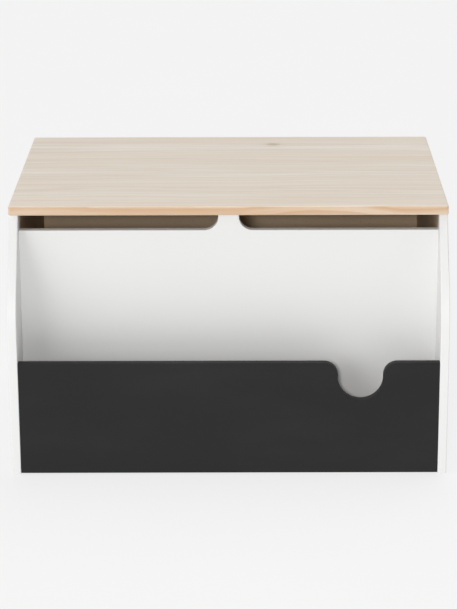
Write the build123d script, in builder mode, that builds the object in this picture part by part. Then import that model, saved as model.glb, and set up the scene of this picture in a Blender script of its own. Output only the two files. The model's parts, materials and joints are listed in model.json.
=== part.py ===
from build123d import *
import os

# A white fibreboard toy chest with a hinged pine lid and a low black front
# that makes a book pocket. Millimetres, +Z up, the chest faces -Y. The origin
# is on the floor, under the middle of the chest and its hinges.

os.makedirs("parts", exist_ok=True)

# ---------------------------------------------------------------- whole chest
width = 600.0                   # lid and carcass
height = 368.0                  # floor to lid top
board = 12.0                    # every fibreboard panel
lid_thickness = 13.0
lid_depth = 405.0
pocket_reach = 62.0             # side fronts ahead of the lid's front edge
glide_height = 1.5
panel_lift = 1.6                # cross panels end this far above the sides' feet

# ---------------------------------------------------------------- hinges
hinge_offset = 190.0            # hinge centres from the middle of the chest
leaf_width = 64.0
leaf_thickness = 1.5
barrel_radius = 4.0
barrel_length = 34.0            # the base leaf's one knuckle
knuckle_gap = 0.3
barrel_clearance = 0.3          # moving knuckles to the back panel
leaf_clearance = 0.6            # each leaf to the other leaf's knuckles
base_leaf_drop = 44.0           # below the hinge axis
lid_leaf_reach = 36.0           # into the chest, past the back panel
pin_radius = 2.0
pin_head_radius = 3.2
pin_head_height = 1.5
bush_radius = 3.0
bush_clearance = 0.04

# ---------------------------------------------------------------- panels
bottom_z = 22.0                 # middle of the toy floor
front_setback = 17.0            # white chest front behind the lid's front edge
blackboard_setback = 1.0        # black front behind the sides' front edges
blackboard_top = 163.0
blackboard_joint = 0.4          # shadow gap at each end of the black front
panel_edge_radius = 1.0

# S-shaped front edge of the sides
curve_start_z = 195.0
convex_radius = 140.0
convex_turn = 37.0
side_top_setback = 12.0         # behind the lid's front edge
side_edge_radius = 1.2

# Finger gaps over the chest front, one on each side of a tab that meets the lid
gap_height = 25.5
tab_width = 28.5
gap_corner_radius = 19.0

# Hand notch in the black front
notch_x = 180.0
notch_depth = 53.5
notch_radius = 31.0
notch_flare = 19.0

# Lid
lid_corner_radius = 3.0
lid_edge_radius = 2.0

# ---------------------------------------------------------------- fixings
cap_radius = 6.0
cap_recess = 2.0
cap_thickness = 1.7
bolt_head_radius = 5.0
bolt_head_height = 3.0
bolt_shank_radius = 2.5
bolt_length = 45.0
bolt_socket_radius = 2.2
bolt_socket_depth = 1.6
dowel_radius = 3.0
dowel_length = 28.0
dowel_in_side = 8.0
dowel_chamfer = 0.6
screw_head_radius = 3.2
screw_shank_radius = 1.75
screw_tip = 3.0
hinge_screw_length = 11.0
upright_screw_length = 38.0     # up through the toy floor into the chest front
cross_length = 3.4
cross_width = 0.8
cross_depth = 0.9
glide_radius = 5.0
glide_chamfer = 0.5
glide_inset = 45.0              # from the ends of a side's lower edge
nail_head_radius = 2.2
nail_head_height = 0.8
nail_radius = 0.9
nail_length = 14.0

# ---------------------------------------------------------------- derived places
inner_x = width / 2 - board
front_y = -(pocket_reach + lid_depth + barrel_clearance + 2 * barrel_radius) / 2
lid_front = front_y + pocket_reach
lid_rear = lid_front + lid_depth
back_y = lid_rear - board
chest_front_y = lid_front + front_setback
blackboard_y = front_y + blackboard_setback
lid_under = height - lid_thickness
panel_foot = glide_height + panel_lift
floor_top = bottom_z + board / 2
gap_floor = lid_under - gap_height
axis_y = lid_rear + barrel_clearance + barrel_radius
axis_z = lid_under - barrel_radius
hinge_sides = {"left": -1, "right": 1}

# Centre lines of the cross panels, and the fixings along each, as (y, z)
blackboard_line = blackboard_y + board / 2
chest_front_line = chest_front_y + board / 2
back_line = lid_rear - board / 2
bolts = {
    "blackboard": [(blackboard_line, z) for z in (45.0, 138.0)],
    "chest_front": [(chest_front_line, z) for z in (70.0, 180.0, 300.0)],
    "back": [(back_line, z) for z in (60.0, 190.0, 315.0)],
    "bottom": [(y, bottom_z) for y in (-60.0, 60.0, 160.0)],
}
dowels = {
    "blackboard": [(blackboard_line, z) for z in (72.0, 112.0)],
    "chest_front": [(chest_front_line, z) for z in (110.0, 245.0)],
    "back": [(back_line, z) for z in (110.0, 265.0)],
    "bottom": [(y, bottom_z) for y in (-115.0, 0.0, 115.0)],
}
every_bolt = [spot for spots in bolts.values() for spot in spots]
every_dowel = [spot for spots in dowels.values() for spot in spots]


def save(piece, node):
    """Label a finished piece and write it as its own node."""
    piece.part.label = node
    export_step(piece.part, f"parts/{node}.step")


def end_planes(x, spots, signs=(-1, 1)):
    """Planes facing outward at x from the middle, one for each spot and side."""
    return [Plane(origin=(s * x, y, z), z_dir=(s, 0, 0)) for s in signs for y, z in spots]


def base_leaf_planes(sign):
    """Screw places on the rear face of one hinge's base leaf."""
    places = [(-22, -34), (0, -20), (22, -34)]
    centre = sign * hinge_offset
    y = lid_rear + leaf_thickness
    return [Plane(origin=(centre + x, y, axis_z + z), z_dir=(0, 1, 0)) for x, z in places]


def lid_leaf_planes(sign):
    """Screw places on the underside of one hinge's lid leaf."""
    places = [(-22, -26), (0, -11), (22, -26)]
    centre = sign * hinge_offset
    z = lid_under - leaf_thickness
    return [Plane(origin=(centre + x, back_y + y, z), z_dir=(0, 0, -1)) for x, y in places]


def upright_screw_planes():
    """Screw places under the toy floor, below the chest front."""
    z = bottom_z - board / 2
    return [
        Plane(origin=(x, chest_front_line, z), z_dir=(0, 0, -1)) for x in (-190.0, 0.0, 190.0)
    ]


def glide_planes(sign):
    """Glide places under one side panel, facing the floor."""
    x = sign * (inner_x + board / 2)
    rows = (front_y + glide_inset, lid_rear - glide_inset)
    return [Plane(origin=(x, y, glide_height), z_dir=(0, 0, -1)) for y in rows]


def drill_ends(panel_name):
    """Bolt and dowel holes in both ends of the cross panel being built."""
    with Locations(*end_planes(inner_x, bolts[panel_name])):
        Hole(bolt_shank_radius, depth=bolt_length + cap_recess - board)
    with Locations(*end_planes(inner_x, dowels[panel_name])):
        Hole(dowel_radius, depth=dowel_length - dowel_in_side)


# ---------------------------------------------------------------- carcass panels
def side_panel(name, sign):
    """Full-height side with the S-curved front edge, drilled for its fixings."""
    with BuildPart() as panel:
        with BuildSketch(Plane.YZ.offset(min(sign * inner_x, sign * width / 2))):
            with BuildLine():
                foot = Polyline((lid_rear, lid_under), (lid_rear, glide_height), (front_y, glide_height))
                rise = Line(foot @ 1, (front_y, curve_start_z))
                convex = JernArc(rise @ 1, (0, 1), convex_radius, -convex_turn)
                top_front = (lid_front + side_top_setback, lid_under)
                concave = TangentArc(convex @ 1, top_front, tangent=convex % 1)
                Line(concave @ 1, foot @ 0)
            make_face()
        extrude(amount=board)
        long_edges = panel.edges().filter_by(Axis.X, reverse=True)
        fillet(long_edges.filter_by_position(Axis.Y, front_y, lid_front), side_edge_radius)
        with Locations(*end_planes(width / 2, every_bolt, [sign])):
            CounterBoreHole(bolt_head_radius, cap_radius, cap_recess, depth=cap_recess + bolt_head_height)
            Hole(bolt_shank_radius, depth=board)
        with Locations(*end_planes(inner_x, every_dowel, [sign])):
            Hole(dowel_radius, depth=dowel_in_side)
        with Locations(*glide_planes(sign)):
            Hole(nail_radius, depth=nail_length)
    save(panel, f"{name}_side_panel")


def back_panel():
    """Back between the sides, notched at the top for the hinges' lid leaves."""
    with BuildPart() as panel:
        with BuildSketch(Plane.XZ.offset(-lid_rear)):
            with Locations((0, (lid_under + panel_foot) / 2)):
                Rectangle(2 * inner_x, lid_under - panel_foot)
            with Locations((-hinge_offset, lid_under), (hinge_offset, lid_under)):
                Rectangle(leaf_width + 1, 2 * leaf_thickness + 0.4, mode=Mode.SUBTRACT)
        extrude(amount=board)
        drill_ends("back")
        with Locations(*base_leaf_planes(-1), *base_leaf_planes(1)):
            Hole(screw_shank_radius, depth=hinge_screw_length)
    save(panel, "back_panel")


def bottom_panel():
    """Toy floor, which runs on under the book pocket to the black front."""
    with BuildPart() as panel:
        with BuildSketch(Plane.XY.offset(bottom_z - board / 2)):
            with Locations((0, (blackboard_y + board + back_y) / 2)):
                Rectangle(2 * inner_x, back_y - blackboard_y - board)
        extrude(amount=board)
        drill_ends("bottom")
        with Locations(*upright_screw_planes()):
            CounterSinkHole(
                screw_shank_radius, screw_head_radius, depth=board, counter_sink_angle=90
            )
    save(panel, "bottom_panel")


def chest_front_panel():
    """White inner front: two finger gaps under the lid, and a tab between them."""
    half_tab = tab_width / 2
    with BuildPart() as panel:
        with BuildSketch(Plane.XZ.offset(-chest_front_y - board)):
            with BuildLine():
                base = Polyline(
                    (0, floor_top), (inner_x, floor_top), (inner_x, gap_floor),
                    (half_tab + gap_corner_radius, gap_floor),
                )
                corner = RadiusArc(
                    base @ 1, (half_tab, gap_floor + gap_corner_radius), gap_corner_radius
                )
                tab = Polyline(corner @ 1, (half_tab, lid_under), (0, lid_under))
                Line(tab @ 1, base @ 0)
            make_face()
            mirror(about=Plane.YZ)
        extrude(amount=board)
        top_edges = panel.edges().filter_by_position(Axis.Z, gap_floor - 1, lid_under - 1)
        fillet(top_edges.filter_by(Axis.Y, reverse=True), panel_edge_radius)
        drill_ends("chest_front")
        with Locations(*upright_screw_planes()):
            Hole(screw_shank_radius, depth=upright_screw_length)
    save(panel, "chest_front_panel")


def blackboard_front():
    """Low black front with a round-bottomed hand notch in its top edge."""
    half_length = inner_x - blackboard_joint
    centre_z = blackboard_top - notch_depth + notch_radius
    neck_z = blackboard_top - notch_flare
    with BuildPart() as panel:
        with BuildSketch(Plane.XZ.offset(-blackboard_y - board)):
            with BuildLine():
                outer = Polyline(
                    (notch_x - notch_radius - notch_flare, blackboard_top),
                    (-half_length, blackboard_top), (-half_length, panel_foot),
                    (half_length, panel_foot), (half_length, blackboard_top),
                    (notch_x + notch_radius + notch_flare, blackboard_top),
                )
                right_flare = RadiusArc(outer @ 1, (notch_x + notch_radius, neck_z), -notch_flare)
                right_wall = Line(right_flare @ 1, (notch_x + notch_radius, centre_z))
                bowl = ThreePointArc(
                    right_wall @ 1, (notch_x, centre_z - notch_radius), (notch_x - notch_radius, centre_z)
                )
                left_wall = Line(bowl @ 1, (notch_x - notch_radius, neck_z))
                RadiusArc(left_wall @ 1, outer @ 0, -notch_flare)
            make_face()
        extrude(amount=board)
        top_edges = panel.edges().filter_by_position(Axis.Z, centre_z - notch_radius, blackboard_top)
        fillet(top_edges.filter_by(Axis.Y, reverse=True), panel_edge_radius)
        with Locations(*end_planes(half_length, bolts["blackboard"])):
            Hole(bolt_shank_radius, depth=bolt_length + cap_recess - board - blackboard_joint)
        with Locations(*end_planes(half_length, dowels["blackboard"])):
            Hole(dowel_radius, depth=dowel_length - dowel_in_side - blackboard_joint)
    save(panel, "blackboard_front")


# ---------------------------------------------------------------- carcass fixings
def panel_dowels(panel_name):
    """Wooden dowels that locate one cross panel in both sides."""
    with BuildPart() as pegs:
        for plane in end_planes(inner_x + dowel_in_side, dowels[panel_name]):
            with BuildSketch(plane):
                Circle(dowel_radius)
            extrude(amount=-dowel_length)
        chamfer(pegs.edges().filter_by(GeomType.CIRCLE), dowel_chamfer)
    save(pegs, f"{panel_name}_dowels")


def side_bolts(name, sign):
    """Socket-head connecting bolts through one side into the cross panels."""
    with BuildPart() as group:
        for plane in end_planes(width / 2 - cap_recess, every_bolt, [sign]):
            with BuildSketch(plane):
                Circle(bolt_head_radius)
            extrude(amount=-bolt_head_height)
            with BuildSketch(plane):
                Circle(bolt_shank_radius)
            extrude(amount=-bolt_length)
            with BuildSketch(plane):
                RegularPolygon(bolt_socket_radius, 6)
            extrude(amount=-bolt_socket_depth, mode=Mode.SUBTRACT)
    save(group, f"{name}_connecting_bolts")


def bolt_caps(name, sign):
    """White caps pressed over the bolts, just under the side's outer face."""
    with BuildPart() as group:
        for plane in end_planes(width / 2 - cap_recess, every_bolt, [sign]):
            with BuildSketch(plane):
                Circle(cap_radius)
            extrude(amount=cap_thickness)
            with BuildSketch(plane):
                RegularPolygon(bolt_socket_radius, 6)
            extrude(amount=-bolt_socket_depth / 2)
    save(group, f"{name}_bolt_caps")


def countersunk_screw(length):
    """One cross-head screw along -Z, its flat head at the origin."""
    head_height = screw_head_radius - screw_shank_radius
    with BuildPart() as screw:
        with BuildSketch(Plane.XZ):
            Polygon(
                (0, 0), (screw_head_radius, 0), (screw_shank_radius, -head_height),
                (screw_shank_radius, screw_tip - length), (0, -length), align=None,
            )
        revolve(axis=Axis.Z)
        with BuildSketch():
            Rectangle(cross_length, cross_width)
            Rectangle(cross_width, cross_length)
        extrude(amount=-cross_depth, mode=Mode.SUBTRACT)
    return screw.part


def screw_group(node, planes, length):
    """Equal countersunk screws, one at each plane."""
    screw = countersunk_screw(length)
    with BuildPart() as group:
        with Locations(*planes):
            add(screw)
    save(group, node)


def glides(name, sign):
    """Front and rear plastic glides under one side, each with a nail hole."""
    for end, plane in zip(("front", "rear"), glide_planes(sign)):
        with BuildPart() as glide:
            with BuildSketch(plane):
                Circle(glide_radius)
            extrude(amount=glide_height)
            chamfer(glide.edges().group_by(Axis.Z)[0], glide_chamfer)
            with Locations(plane.offset(glide_height)):
                CounterBoreHole(nail_radius, nail_head_radius, nail_head_height, depth=glide_height)
        save(glide, f"{name}_{end}_glide")


def glide_nails():
    """Nails that hold the four glides, their heads sunk into the plastic."""
    with BuildPart() as group:
        for plane in (*glide_planes(-1), *glide_planes(1)):
            seat = plane.offset(glide_height - nail_head_height)
            with BuildSketch(seat):
                Circle(nail_head_radius)
            extrude(amount=nail_head_height / 2)
            with BuildSketch(seat):
                Circle(nail_radius)
            extrude(amount=-nail_length)
    save(group, "glide_nails")


# ---------------------------------------------------------------- hinges
def knuckle(x, length, bore_radius):
    """A tube round the hinge axis, centred at x, added to the leaf being built."""
    with Locations(Plane(origin=(x, axis_y, axis_z), z_dir=(1, 0, 0))):
        Cylinder(barrel_radius, length)
        Cylinder(bore_radius, length, mode=Mode.SUBTRACT)


def hinge_base_leaf(name, sign):
    """Leaf on the rear face of the back panel, with the middle knuckle."""
    centre = sign * hinge_offset
    shoulder_z = axis_z - barrel_radius - leaf_clearance
    foot_z = axis_z - base_leaf_drop
    with BuildPart() as leaf:
        with BuildSketch(Plane.XZ.offset(-lid_rear)):
            with Locations((centre, (shoulder_z + foot_z) / 2)):
                RectangleRounded(leaf_width, shoulder_z - foot_z, lid_corner_radius)
            with Locations((centre, (shoulder_z + axis_z) / 2 - lid_corner_radius / 2)):
                Rectangle(barrel_length, axis_z - shoulder_z + lid_corner_radius)
        extrude(amount=-leaf_thickness)
        knuckle(centre, barrel_length, bush_radius)
        with Locations(*base_leaf_planes(sign)):
            CounterSinkHole(
                screw_shank_radius, screw_head_radius, depth=leaf_thickness, counter_sink_angle=90
            )
    save(leaf, f"{name}_hinge_base_leaf")


def hinge_lid_leaf(name, sign):
    """Leaf under the lid, carried over the back panel to two outer knuckles."""
    centre = sign * hinge_offset
    ear_length = (leaf_width - barrel_length) / 2 - knuckle_gap
    ear_offset = (leaf_width - ear_length) / 2
    tip_y = back_y - lid_leaf_reach
    with BuildPart() as leaf:
        with BuildSketch(Plane.XY.offset(lid_under - leaf_thickness)):
            with Locations((centre, (tip_y + lid_rear - leaf_clearance) / 2)):
                RectangleRounded(leaf_width, lid_rear - leaf_clearance - tip_y, lid_corner_radius)
            with Locations((centre - ear_offset, axis_y), (centre + ear_offset, axis_y)):
                Rectangle(ear_length, axis_y - back_y, align=(Align.CENTER, Align.MAX))
        extrude(amount=leaf_thickness)
        for x in (centre - ear_offset, centre + ear_offset):
            knuckle(x, ear_length, pin_radius)
        with Locations(*lid_leaf_planes(sign)):
            CounterSinkHole(
                screw_shank_radius, screw_head_radius, depth=leaf_thickness, counter_sink_angle=90
            )
    save(leaf, f"{name}_hinge_lid_leaf")


def hinge_pin(name, sign):
    """Pin fixed in the lid leaf's knuckles, with a head at each end."""
    start = sign * hinge_offset - leaf_width / 2
    with BuildPart() as pin:
        with BuildSketch(Plane.YZ.offset(start)):
            with Locations((axis_y, axis_z)):
                Circle(pin_radius)
        extrude(amount=leaf_width)
        for x in (start - pin_head_height, start + leaf_width):
            with BuildSketch(Plane.YZ.offset(x)):
                with Locations((axis_y, axis_z)):
                    Circle(pin_head_radius)
            extrude(amount=pin_head_height)
        chamfer(pin.edges().group_by(Axis.X)[0], pin_head_height / 3)
        chamfer(pin.edges().group_by(Axis.X)[-1], pin_head_height / 3)
    save(pin, f"{name}_hinge_pin")


def friction_bush(name, sign):
    """Sleeve pressed in the middle knuckle; its grip on the pin holds the lid."""
    start = sign * hinge_offset - barrel_length / 2
    with BuildPart() as bush:
        with BuildSketch(Plane.YZ.offset(start)):
            with Locations((axis_y, axis_z)):
                Circle(bush_radius)
                Circle(pin_radius + bush_clearance, mode=Mode.SUBTRACT)
        extrude(amount=barrel_length)
    save(bush, f"{name}_hinge_friction_bush")


# ---------------------------------------------------------------- lid
def lid():
    """Solid pine lid, its corners and edges softly rounded."""
    with BuildPart() as board_piece:
        with BuildSketch(Plane.XY.offset(lid_under)):
            with Locations((0, (lid_front + lid_rear) / 2)):
                RectangleRounded(width, lid_depth, lid_corner_radius)
        extrude(amount=lid_thickness)
        fillet(board_piece.edges().group_by(Axis.Z)[-1], lid_edge_radius)
        fillet(board_piece.edges().group_by(Axis.Z)[0], lid_edge_radius)
        with Locations(*lid_leaf_planes(-1), *lid_leaf_planes(1)):
            Hole(screw_shank_radius, depth=hinge_screw_length)
    save(board_piece, "pine_lid")


lid()
back_panel()
bottom_panel()
chest_front_panel()
blackboard_front()
glide_nails()
screw_group("chest_front_screws", upright_screw_planes(), upright_screw_length)
for panel_key in dowels:
    panel_dowels(panel_key)
for side_name, side_sign in hinge_sides.items():
    side_panel(side_name, side_sign)
    side_bolts(side_name, side_sign)
    bolt_caps(side_name, side_sign)
    glides(side_name, side_sign)
    hinge_base_leaf(side_name, side_sign)
    hinge_lid_leaf(side_name, side_sign)
    hinge_pin(side_name, side_sign)
    friction_bush(side_name, side_sign)
    screw_group(f"{side_name}_base_leaf_screws", base_leaf_planes(side_sign), hinge_screw_length)
    screw_group(f"{side_name}_lid_leaf_screws", lid_leaf_planes(side_sign), hinge_screw_length)
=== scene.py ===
import json
import math

import bpy
from mathutils import Matrix, Vector


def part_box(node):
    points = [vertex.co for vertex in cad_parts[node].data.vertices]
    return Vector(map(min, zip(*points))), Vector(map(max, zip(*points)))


# A white toy chest with a pine lid and a blackboard front, on a pale floor in
# soft studio light. Lengths are in metres. X runs to the right as seen from the
# front, and Y to the back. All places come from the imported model's boxes.

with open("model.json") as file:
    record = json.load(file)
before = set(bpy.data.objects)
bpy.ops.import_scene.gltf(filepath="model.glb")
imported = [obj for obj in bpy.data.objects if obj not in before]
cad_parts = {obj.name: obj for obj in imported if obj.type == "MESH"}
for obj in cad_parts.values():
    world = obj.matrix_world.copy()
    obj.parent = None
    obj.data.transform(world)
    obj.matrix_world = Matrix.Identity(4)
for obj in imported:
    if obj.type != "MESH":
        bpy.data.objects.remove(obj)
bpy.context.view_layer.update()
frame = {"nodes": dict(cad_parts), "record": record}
nodes = frame["nodes"]

MM = 0.001


# ---------------------------------------------------------------- node helpers
def is_socket(value):
    """Whether value is a node's socket, not a constant."""
    return isinstance(value, bpy.types.NodeSocket)


def feed(tree, socket, value):
    """Link a socket to another socket, or set it to a constant."""
    if is_socket(value):
        tree.links.new(value, socket)
    else:
        socket.default_value = value


def calc(tree, operation, first, second=0.0, clamp=False):
    """One Math node; returns its value."""
    node = tree.nodes.new("ShaderNodeMath")
    node.operation = operation
    node.use_clamp = clamp
    feed(tree, node.inputs[0], first)
    feed(tree, node.inputs[1], second)
    return node.outputs[0]


def add(tree, first, second):
    """The sum of two values."""
    return calc(tree, "ADD", first, second)


def subtract(tree, first, second):
    """The first value less the second."""
    return calc(tree, "SUBTRACT", first, second)


def multiply(tree, first, second):
    """The product of two values."""
    return calc(tree, "MULTIPLY", first, second)


def remap(tree, value, low, high, out_low=0.0, out_high=1.0):
    """A smooth step of value from low..high to out_low..out_high."""
    node = tree.nodes.new("ShaderNodeMapRange")
    node.interpolation_type = "SMOOTHSTEP"
    feed(tree, node.inputs["Value"], value)
    node.inputs["From Min"].default_value = low
    node.inputs["From Max"].default_value = high
    node.inputs["To Min"].default_value = out_low
    node.inputs["To Max"].default_value = out_high
    return node.outputs["Result"]


def tint(tree, factor, first, second, mode="MIX"):
    """Mix of two colours by factor."""
    node = tree.nodes.new("ShaderNodeMix")
    node.data_type = "RGBA"
    node.blend_type = mode
    feed(tree, node.inputs[0], factor)
    for socket, colour in ((node.inputs[6], first), (node.inputs[7], second)):
        feed(tree, socket, colour if is_socket(colour) else (*colour, 1.0))
    return node.outputs[2]


def stain(tree, base, colour, mask, strength, mode="MIX"):
    """Base with colour over it where mask is 1, as much as strength says."""
    return tint(tree, multiply(tree, mask, strength), base, colour, mode)


def place(tree, scale=1.0):
    """Object coordinates in metres times scale, one number or one per axis."""
    coords = tree.nodes.new("ShaderNodeTexCoord")
    mapping = tree.nodes.new("ShaderNodeMapping")
    mapping.inputs["Scale"].default_value = scale if isinstance(scale, tuple) else (scale,) * 3
    tree.links.new(coords.outputs["Object"], mapping.inputs["Vector"])
    return mapping.outputs["Vector"]


def split(tree, point):
    """The X, Y and Z of a vector."""
    node = tree.nodes.new("ShaderNodeSeparateXYZ")
    tree.links.new(point, node.inputs[0])
    return node.outputs


def join(tree, x, y, z=0.0):
    """A vector of three values."""
    node = tree.nodes.new("ShaderNodeCombineXYZ")
    for socket, value in zip(node.inputs, (x, y, z)):
        feed(tree, socket, value)
    return node.outputs[0]


def noise(tree, where, detail=3.0, roughness=0.5):
    """Noise from 0 to 1. Where is a vector, or the number of cycles per metre,
    the same all ways or one per axis."""
    node = tree.nodes.new("ShaderNodeTexNoise")
    feed(tree, node.inputs["Vector"], where if is_socket(where) else place(tree, where))
    node.inputs["Scale"].default_value = 1.0
    node.inputs["Detail"].default_value = detail
    node.inputs["Roughness"].default_value = roughness
    return node.outputs["Fac"]


def lottery(tree, number):
    """A random Value and Color for each whole number."""
    node = tree.nodes.new("ShaderNodeTexWhiteNoise")
    node.noise_dimensions = "1D"
    tree.links.new(number, node.inputs["W"])
    return node.outputs


def specks(tree, per_metre, low, high):
    """Small separate specks: 1 within low of a cell's centre, 0 beyond high."""
    node = tree.nodes.new("ShaderNodeTexVoronoi")
    tree.links.new(place(tree), node.inputs["Vector"])
    node.inputs["Scale"].default_value = per_metre
    return remap(tree, node.outputs["Distance"], low, high, 1.0, 0.0)


def relief(tree, height, distance, strength=1.0, normal=None):
    """Bump from a height in 0..1, distance metres deep."""
    node = tree.nodes.new("ShaderNodeBump")
    node.inputs["Strength"].default_value = strength
    node.inputs["Distance"].default_value = distance
    feed(tree, node.inputs["Height"], height)
    if normal is not None:
        feed(tree, node.inputs["Normal"], normal)
    return node.outputs["Normal"]


def edge_mask(tree, radius, gain):
    """1 along edges and corners and 0 on flat faces."""
    bevel = tree.nodes.new("ShaderNodeBevel")
    bevel.samples = 6
    bevel.inputs["Radius"].default_value = radius
    geometry = tree.nodes.new("ShaderNodeNewGeometry")
    dot = tree.nodes.new("ShaderNodeVectorMath")
    dot.operation = "DOT_PRODUCT"
    tree.links.new(bevel.outputs["Normal"], dot.inputs[0])
    tree.links.new(geometry.outputs["Normal"], dot.inputs[1])
    return calc(tree, "MULTIPLY", subtract(tree, 1.0, dot.outputs["Value"]), gain, clamp=True)


def start_material(name, **constants):
    """A new Principled material with its constant sockets set."""
    material = bpy.data.materials.new(name)
    material.use_nodes = True
    tree = material.node_tree
    shader = tree.nodes["Principled BSDF"]
    for socket, value in constants.items():
        shader.inputs[socket.replace("_", " ")].default_value = value
    return material, tree, shader


def finish_material(tree, shader, colour, roughness, normal):
    """Connect a material's colour, roughness and normal."""
    feed(tree, shader.inputs["Base Color"], colour)
    feed(tree, shader.inputs["Roughness"], roughness)
    feed(tree, shader.inputs["Normal"], normal)


# ---------------------------------------------------------------- pine
STAVES = 8
STAVE_SEED = 3.0
RING_PITCH = 3.1 * MM
KNOT_ACROSS, KNOT_BACK = 0.608, 0.877   # the knot's place, as parts of the lid's width and depth
KNOT_SQUEEZE = 0.8                      # the knot is longer along the grain


def knot_distance(tree, x, y, low, high):
    """Distance from the middle of the lid's one knot."""
    knot_x = low.x + KNOT_ACROSS * (high.x - low.x)
    knot_y = low.y + KNOT_BACK * (high.y - low.y)
    node = tree.nodes.new("ShaderNodeVectorMath")
    node.operation = "DISTANCE"
    tree.links.new(join(tree, multiply(tree, x, KNOT_SQUEEZE), y), node.inputs[0])
    node.inputs[1].default_value = (KNOT_SQUEEZE * knot_x, knot_y, 0.0)
    return node.outputs["Value"]


def pith_distance(tree, x, inside, above, stave, luck):
    """Distance from a stave's pith, which lies 70 to 120 mm behind the stave's
    front edge and 12 to 26 mm below the lid, and wanders a little along X."""
    along = join(tree, multiply(tree, x, 3.2), multiply(tree, stave, 7.31))
    drift = subtract(tree, noise(tree, along, 1.0), 0.5)
    back = add(tree, multiply(tree, luck["Red"], 0.050), 0.070)
    back = add(tree, subtract(tree, back, inside), multiply(tree, drift, 0.013))
    down = add(tree, above, multiply(tree, luck["Green"], 0.014))
    down = add(tree, down, add(tree, multiply(tree, drift, 0.050), 0.012))
    squares = add(tree, multiply(tree, back, back), multiply(tree, down, down))
    return calc(tree, "SQRT", squares)


def pine():
    """Pine board glued from staves along X: nearly straight growth rings round
    a pith behind each stave, fine fibres, one faint knot, orange cut edges."""
    material, tree, shader = start_material("pine", IOR=1.45)
    low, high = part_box("pine_lid")
    stave_width = (high.y - low.y) / STAVES

    x, y, z = split(tree, place(tree))
    across = subtract(tree, y, low.y)
    count = calc(tree, "DIVIDE", across, stave_width)
    stave = calc(tree, "FLOOR", count)
    inside = subtract(tree, across, multiply(tree, stave, stave_width))
    chance = tree.nodes.new("ShaderNodeSeparateColor")
    tree.links.new(lottery(tree, add(tree, stave, STAVE_SEED))["Color"], chance.inputs[0])
    luck = chance.outputs

    # cut is 1 on the lid's four edges, and end is 1 on its two ends
    coords = tree.nodes.new("ShaderNodeTexCoord")
    facing = split(tree, coords.outputs["Normal"])
    cut = remap(tree, calc(tree, "ABSOLUTE", facing[2]), 0.25, 0.95, 1.0, 0.0)
    end = remap(tree, calc(tree, "ABSOLUTE", facing[0]), 0.5, 0.95)

    # the knot pushes the rings aside
    from_knot = knot_distance(tree, x, y, low, high)
    knot = remap(tree, from_knot, 3.0 * MM, 22.0 * MM, 1.0, 0.0)
    knot_core = remap(tree, from_knot, 3.5 * MM, 11.0 * MM, 1.0, 0.0)
    radius = pith_distance(tree, x, inside, subtract(tree, z, low.z), stave, luck)
    radius = add(tree, radius, multiply(tree, knot, 5.0 * MM))
    waver = noise(tree, (3.5, 40.0, 40.0))
    radius = add(tree, radius, multiply(tree, waver, 1.0 * MM))

    # each ring darkens slowly and ends in a sharp latewood line, and some are fainter
    turn = calc(tree, "DIVIDE", radius, RING_PITCH)
    phase = calc(tree, "FRACT", turn)
    late = multiply(
        tree, remap(tree, phase, 0.30, 0.90), remap(tree, phase, 0.92, 1.0, 1.0, 0.0)
    )
    ring_luck = lottery(tree, calc(tree, "FLOOR", turn))["Value"]
    late = multiply(tree, late, remap(tree, ring_luck, 0.0, 1.0, 0.25, 1.0))

    # groups of rings read as wider bands from further off
    group = join(
        tree, multiply(tree, x, 2.4), multiply(tree, radius, 110.0), multiply(tree, stave, 3.1)
    )
    band = remap(tree, noise(tree, group, 4.0, 0.7), 0.34, 0.66)

    broad = noise(tree, (1.4, 16.0, 16.0))
    fibre = noise(tree, (9.0, 700.0, 700.0), 4.0, 0.6)
    pores = remap(tree, noise(tree, (45.0, 2600.0, 2600.0), 1.0), 0.60, 0.72)

    wood = tint(tree, broad, (0.765, 0.715, 0.650), (0.820, 0.780, 0.725))
    streak = tint(tree, cut, (0.625, 0.530, 0.430), (0.640, 0.445, 0.275))
    wood = stain(tree, wood, streak, band, add(tree, multiply(tree, cut, 0.25), 0.62))
    wood = stain(tree, wood, (0.730, 0.640, 0.520), luck["Blue"], 0.40)
    late_strength = add(tree, multiply(tree, cut, 0.45), 0.42)
    wood = stain(tree, wood, (0.580, 0.390, 0.235), late, late_strength)
    wood = stain(tree, wood, (0.560, 0.450, 0.330), remap(tree, fibre, 0.45, 0.75), 0.24)
    wood = stain(tree, wood, (0.400, 0.290, 0.190), pores, 0.10)
    wood = stain(tree, wood, (0.560, 0.430, 0.290), knot, 0.24)
    wood = stain(tree, wood, (0.330, 0.230, 0.150), knot_core, 0.42)
    wood = stain(tree, wood, (1.0, 0.855, 0.730), cut, 0.95, "MULTIPLY")
    wood = stain(tree, wood, (0.84, 0.76, 0.66), end, 0.6, "MULTIPLY")

    # glue lines between the staves, and rubbed edges
    from_middle = subtract(tree, calc(tree, "FRACT", count), 0.5)
    seam = remap(tree, calc(tree, "ABSOLUTE", from_middle), 0.490, 0.4975)
    wood = stain(tree, wood, (0.42, 0.31, 0.20), seam, 0.22)
    wood = stain(tree, wood, (0.80, 0.68, 0.53), edge_mask(tree, 2.0 * MM, 1.4), 0.15)

    rough = remap(tree, fibre, 0.2, 0.8, 0.38, 0.52)
    rough = subtract(tree, rough, multiply(tree, late, 0.05))
    grain = relief(tree, add(tree, fibre, multiply(tree, late, 0.6)), 0.05 * MM, 0.6)
    grain = relief(tree, subtract(tree, 1.0, seam), 0.08 * MM, 0.5, grain)
    finish_material(tree, shader, wood, rough, grain)
    return material


# ---------------------------------------------------------------- board and paint
CHALK = (0.08, 0.08, 0.08)


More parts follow.
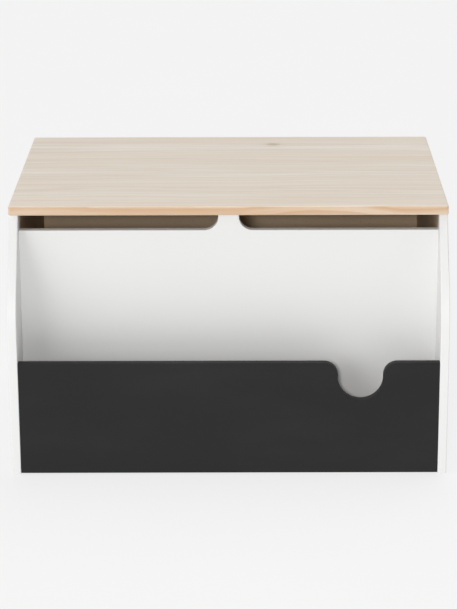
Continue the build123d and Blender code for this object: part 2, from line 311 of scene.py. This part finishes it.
def paint_coat(tree, colour, shade, worn, roughness, stipple, dusty=0.0):
    """Colour, roughness and normal of paint rolled on smooth board: stipple,
    patchy gloss, soft mottling, specks and worn edges, with chalk if dusty."""
    broad = noise(tree, 7.0, 4.0)
    fine = noise(tree, 260.0, 3.0, 0.6)
    pimple = noise(tree, 900.0, 2.0)
    base = tint(tree, broad, colour, shade)
    base = stain(tree, base, shade, remap(tree, fine, 0.4, 0.8), 0.10)
    rough = remap(tree, broad, 0.25, 0.75, roughness - 0.05, roughness + 0.06)
    if dusty:
        smear = remap(tree, noise(tree, (5.0, 5.0, 14.0), 5.0, 0.6), 0.42, 0.75)
        dust = multiply(tree, smear, dusty)
        base = tint(tree, dust, base, CHALK)
        rough = add(tree, rough, multiply(tree, dust, 0.2))
    base = stain(tree, base, worn, specks(tree, 160.0, 0.02, 0.10), 0.10)
    rub = multiply(tree, edge_mask(tree, 1.2 * MM, 1.6), remap(tree, fine, 0.30, 0.65, 0.35, 1.0))
    base = stain(tree, base, worn, rub, 0.45)
    skin = relief(tree, fine, stipple, 0.5)
    skin = relief(tree, pimple, stipple * 0.5, 0.4, skin)
    return base, rough, skin


def bare_board(tree):
    """Colour, roughness and normal of brown fibreboard under clear sealer."""
    felt = noise(tree, 420.0, 5.0, 0.7)
    cloud = noise(tree, 9.0, 4.0)
    shive = remap(tree, noise(tree, (260.0, 900.0, 900.0), 2.0), 0.62, 0.74)
    base = tint(tree, cloud, (0.610, 0.440, 0.285), (0.690, 0.520, 0.355))
    base = stain(tree, base, (0.740, 0.580, 0.410), remap(tree, felt, 0.35, 0.75), 0.35)
    base = stain(tree, base, (0.320, 0.205, 0.120), shive, 0.40)
    base = stain(tree, base, (0.320, 0.215, 0.130), edge_mask(tree, 1.0 * MM, 1.4), 0.35)
    return base, remap(tree, felt, 0.3, 0.7, 0.58, 0.72), relief(tree, felt, 0.08 * MM, 0.6)


def raw_board():
    """Fibreboard left brown on all sides."""
    material, tree, shader = start_material("raw_board", IOR=1.45)
    finish_material(tree, shader, *bare_board(tree))
    return material


def white_lacquer():
    """White lacquered board, left bare on the faces inside the toy cavity."""
    material, tree, shader = start_material("white_lacquer", IOR=1.48)
    white, white_rough, skin = paint_coat(
        tree, colour=(0.778, 0.778, 0.772), shade=(0.755, 0.755, 0.748),
        worn=(0.715, 0.705, 0.680), roughness=0.42, stipple=0.03 * MM,
    )
    brown, brown_rough, felt = bare_board(tree)

    # the cavity is what lies between the sides and behind the chest front
    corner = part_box("chest_front_panel")[1]
    x, y = split(tree, place(tree))[:2]
    width = calc(tree, "ABSOLUTE", x)
    between = remap(tree, width, corner.x + 0.2 * MM, corner.x + 0.4 * MM, 1.0, 0.0)
    behind = remap(tree, y, corner.y - 0.4 * MM, corner.y - 0.2 * MM)
    cavity = multiply(tree, between, behind)

    change = multiply(tree, cavity, subtract(tree, brown_rough, white_rough))
    normal = tree.nodes.new("ShaderNodeMix")
    normal.data_type = "VECTOR"
    tree.links.new(cavity, normal.inputs[0])
    tree.links.new(skin, normal.inputs[4])
    tree.links.new(felt, normal.inputs[5])
    finish_material(
        tree, shader, tint(tree, cavity, white, brown), add(tree, white_rough, change),
        normal.outputs[1],
    )
    return material


def blackboard_paint():
    """Matt black chalkboard paint with a trace of chalk dust."""
    material, tree, shader = start_material("blackboard_paint", IOR=1.33)
    finish_material(tree, shader, *paint_coat(
        tree, colour=(0.0105, 0.0100, 0.0105), shade=(0.0140, 0.0135, 0.0140),
        worn=(0.055, 0.053, 0.052), roughness=0.60, stipple=0.06 * MM, dusty=0.05,
    ))
    return material


# ---------------------------------------------------------------- small fittings
def beech():
    """Raw turned beech with short dark flecks along X."""
    material, tree, shader = start_material("beech_dowel", IOR=1.45)
    grain = noise(tree, (40.0, 700.0, 700.0), 4.0)
    fleck = remap(tree, noise(tree, (220.0, 1800.0, 1800.0), 1.0), 0.62, 0.72)
    base = tint(tree, grain, (0.560, 0.370, 0.220), (0.660, 0.470, 0.300))
    base = stain(tree, base, (0.350, 0.200, 0.110), fleck, 0.5)
    rough = remap(tree, grain, 0.3, 0.7, 0.55, 0.70)
    finish_material(tree, shader, base, rough, relief(tree, grain, 0.06 * MM))
    return material


def plated(name, colour, shade, lines, roughness):
    """Plated steel: drawn lines, faint spangle, dull spots, bright edges. Lines
    is how many there are per metre along each axis."""
    material, tree, shader = start_material(name, Metallic=1.0)
    drawn = noise(tree, lines, 3.0, 0.6)
    spangle = noise(tree, 110.0, 2.0)
    dull = remap(tree, noise(tree, 45.0, 5.0), 0.52, 0.74)
    base = tint(tree, spangle, colour, shade)
    base = stain(tree, base, (0.36, 0.35, 0.33), dull, 0.35)
    base = stain(tree, base, (0.86, 0.86, 0.85), edge_mask(tree, 0.6 * MM, 1.6), 0.5)
    rough = remap(tree, drawn, 0.3, 0.7, roughness - 0.06, roughness + 0.08)
    rough = add(tree, rough, multiply(tree, dull, 0.15))
    finish_material(tree, shader, base, rough, relief(tree, drawn, 0.02 * MM, 0.5))
    return material


def plastic(name, colour, shade, roughness):
    """Moulded plastic: fine eroded texture, faint flow marks, scuffed edges."""
    material, tree, shader = start_material(name, IOR=1.5)
    flow = noise(tree, (60.0, 60.0, 25.0))
    fine = noise(tree, 1500.0, 2.0)
    base = tint(tree, flow, colour, shade)
    base = stain(tree, base, shade, edge_mask(tree, 0.5 * MM, 1.5), 0.25)
    rough = remap(tree, fine, 0.3, 0.7, roughness, roughness + 0.1)
    finish_material(tree, shader, base, rough, relief(tree, fine, 0.02 * MM, 0.5))
    return material


materials = {
    "pine": pine(),
    "white_lacquer": white_lacquer(),
    "blackboard_paint": blackboard_paint(),
    "raw_board": raw_board(),
    "beech_dowel": beech(),
    "zinc_steel": plated(
        "zinc_steel", colour=(0.66, 0.66, 0.65), shade=(0.55, 0.56, 0.57),
        lines=(60.0, 900.0, 900.0), roughness=0.34,
    ),
    "screw_steel": plated(
        "screw_steel", colour=(0.62, 0.60, 0.55), shade=(0.52, 0.50, 0.46),
        lines=(900.0, 900.0, 90.0), roughness=0.28,
    ),
    "bush_plastic": plastic(
        "bush_plastic", colour=(0.66, 0.63, 0.54), shade=(0.58, 0.55, 0.47), roughness=0.38,
    ),
    "cap_plastic": plastic(
        "cap_plastic", colour=(0.82, 0.82, 0.81), shade=(0.78, 0.78, 0.76), roughness=0.36,
    ),
    "glide_plastic": plastic(
        "glide_plastic", colour=(0.70, 0.70, 0.68), shade=(0.62, 0.62, 0.60), roughness=0.45,
    ),
}
for entry in frame["record"]["subparts"]:
    mesh = nodes[entry["node"]].data
    mesh.materials.clear()
    mesh.materials.append(materials[entry["material_slot"]])


# ---------------------------------------------------------------- studio
WHITE = (1.0, 1.0, 1.0, 1.0)
FLOOR_REACH = 40.0
CAMERA_RIGHT = 0.0236   # of the chest's middle
CAMERA_AHEAD = 2.922    # of the lid's front edge
CAMERA_ABOVE = 0.795    # the lid's top
FILL_LEFT = 0.14        # how far the fill light stands to the left of the camera

lid_low, lid_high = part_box("pine_lid")
camera_place = Vector((CAMERA_RIGHT, lid_low.y - CAMERA_AHEAD, lid_high.z + CAMERA_ABOVE))


def add_to_scene(name, data):
    """A new object for a mesh, lamp or camera, linked to the scene."""
    thing = bpy.data.objects.new(name, data)
    bpy.context.scene.collection.objects.link(thing)
    return thing


def studio_floor():
    """Pale floor, partly lit from within like a light table, so that the
    contact shadows stay faint."""
    material, tree, shader = start_material("studio_floor", Roughness=0.9, IOR=1.3)
    mottle = noise(tree, 3.0)
    colour = tint(tree, mottle, (0.14, 0.14, 0.14), (0.15, 0.15, 0.15))
    feed(tree, shader.inputs["Base Color"], colour)
    shader.inputs["Specular IOR Level"].default_value = 0.0
    shader.inputs["Emission Color"].default_value = WHITE
    shader.inputs["Emission Strength"].default_value = 0.755
    return material


def make_floor():
    """A wide pale floor that fills every view."""
    mesh = bpy.data.meshes.new("studio_floor")
    corners = [(x * FLOOR_REACH, y * FLOOR_REACH, 0) for x, y in ((-1, -1), (1, -1), (1, 1), (-1, 1))]
    mesh.from_pydata(corners, [], [(0, 1, 2, 3)])
    mesh.materials.append(studio_floor())
    floor = add_to_scene("studio_floor", mesh)


def make_sky(strength):
    """An even white surround."""
    world = bpy.data.worlds.new("studio")
    world.use_nodes = True
    background = world.node_tree.nodes["Background"]
    background.inputs["Color"].default_value = WHITE
    background.inputs["Strength"].default_value = strength
    bpy.context.scene.world = world


def make_softbox(name, position, target, size, power):
    """A round softbox at position, aimed at target."""
    lamp = bpy.data.lights.new(name, "AREA")
    lamp.shape = "DISK"
    lamp.size = size
    lamp.energy = power
    turn = (position - target).to_track_quat("Z", "Y").to_matrix().to_4x4()
    add_to_scene(name, lamp).matrix_world = Matrix.Translation(position) @ turn


def make_sun(name, azimuth, elevation, softness, strength):
    """A soft distant light. Azimuth 0 is straight in front, positive from the right."""
    lamp = bpy.data.lights.new(name, "SUN")
    lamp.energy = strength
    lamp.angle = math.radians(softness)
    turn, rise = math.radians(azimuth), math.radians(elevation)
    level = math.cos(rise)
    towards = Vector((math.sin(turn) * level, -math.cos(turn) * level, math.sin(rise)))
    add_to_scene(name, lamp).rotation_euler = towards.to_track_quat("Z", "Y").to_euler()


def make_camera():
    """A long lens, a little above the lid, looking down at the front."""
    lens = bpy.data.cameras.new("camera")
    lens.lens = 131.5
    lens.sensor_width = 36.0
    lens.shift_x = -0.0287
    lens.clip_end = 100.0
    tilt = Matrix.Rotation(math.radians(72.25), 4, "X")
    roll = Matrix.Rotation(math.radians(-0.13), 4, "Z")
    camera = add_to_scene("camera", lens)
    camera.matrix_world = Matrix.Translation(camera_place) @ tilt @ roll
    bpy.context.scene.camera = camera


make_floor()
make_sky(0.34)
make_softbox(
    "camera_fill", position=camera_place - Vector((FILL_LEFT, 0.0, 0.0)),
    target=(lid_low + lid_high) / 2, size=0.20, power=27.0,
)
make_sun("left_front", azimuth=-30.0, elevation=14.0, softness=24.0, strength=0.50)
make_sun("left_side", azimuth=-60.0, elevation=20.0, softness=40.0, strength=0.55)
make_sun("high_left", azimuth=-75.0, elevation=52.0, softness=30.0, strength=0.52)
make_sun("right_side", azimuth=75.0, elevation=20.0, softness=30.0, strength=0.18)
make_sun("rear_top", azimuth=160.0, elevation=62.0, softness=50.0, strength=1.35)
make_camera()
bpy.context.scene.view_settings.view_transform = "Standard"
